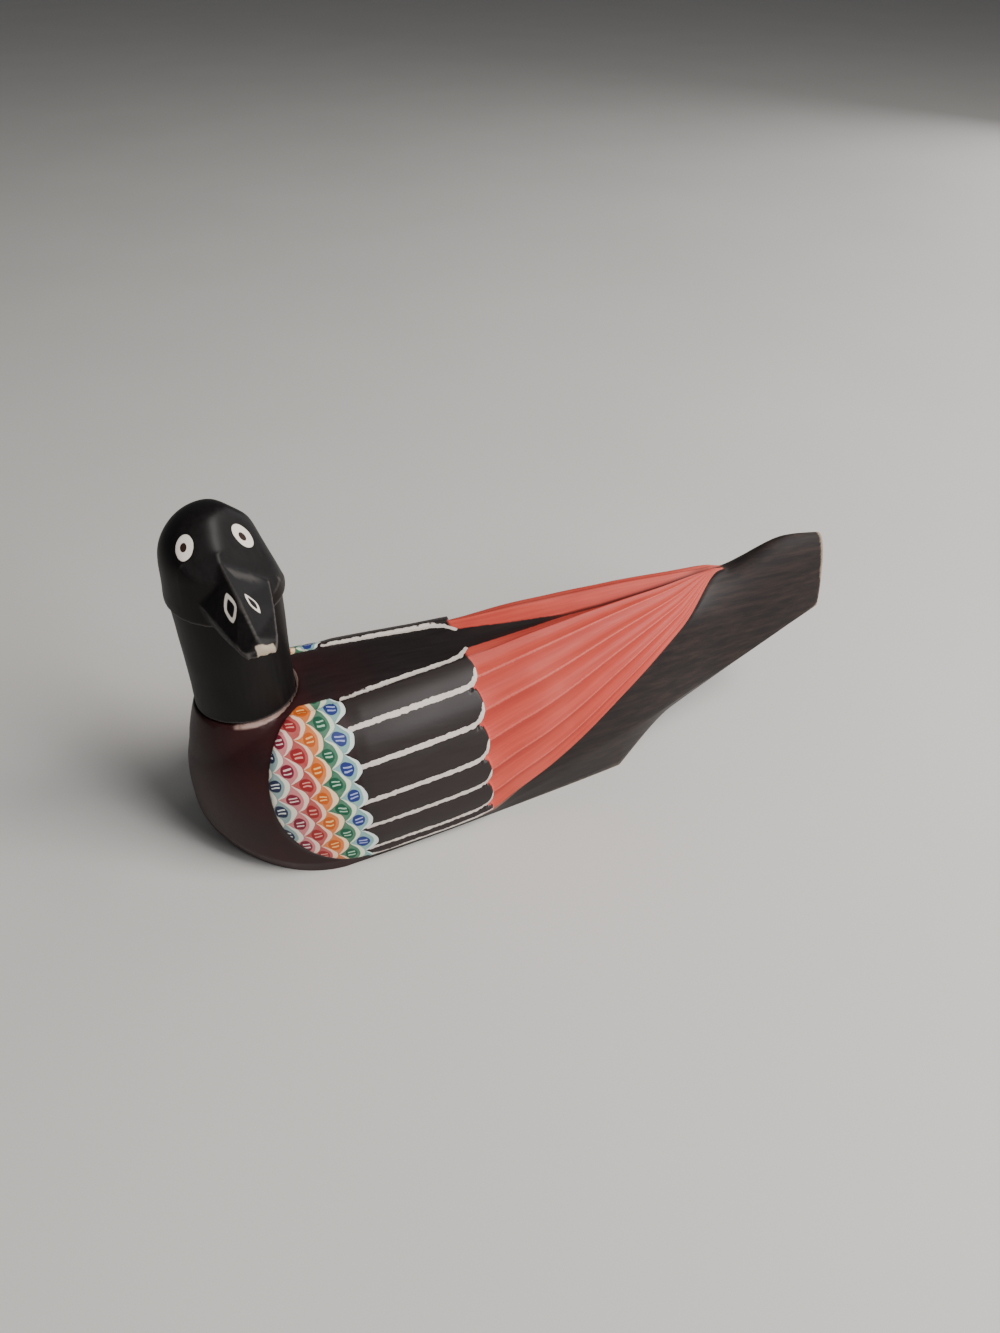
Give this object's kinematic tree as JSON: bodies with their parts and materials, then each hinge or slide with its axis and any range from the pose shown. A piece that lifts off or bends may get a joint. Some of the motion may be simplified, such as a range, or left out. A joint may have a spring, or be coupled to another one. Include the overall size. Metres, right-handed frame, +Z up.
{
  "type": "carved painted duck ornament",
  "caption": "Carved wooden duck ornament, painted dark, with scale-pattern shoulders, white wing bars and coral fan-fluted wings, a raised tail and a separately carved turned head.",
  "frame": {"origin": "middle of the flat base, on the body's plane of symmetry", "axes": "+X towards the tail, +Y towards the duck's right side, +Z up"},
  "size_m": [0.2649, 0.0828, 0.138],
  "materials": {
    "painted_body": "hand-painted wood, satin black-brown with coral, white and bright scale patterns, rubbed at the edges",
    "painted_head": "hand-painted wood, satin black with white eye rings and nostril outlines, bare wood at the tip of the bill"
  },
  "bodies": {
    "root": {"body": "painted_body", "head_and_neck": "painted_head"}
  },
  "joints": []
}
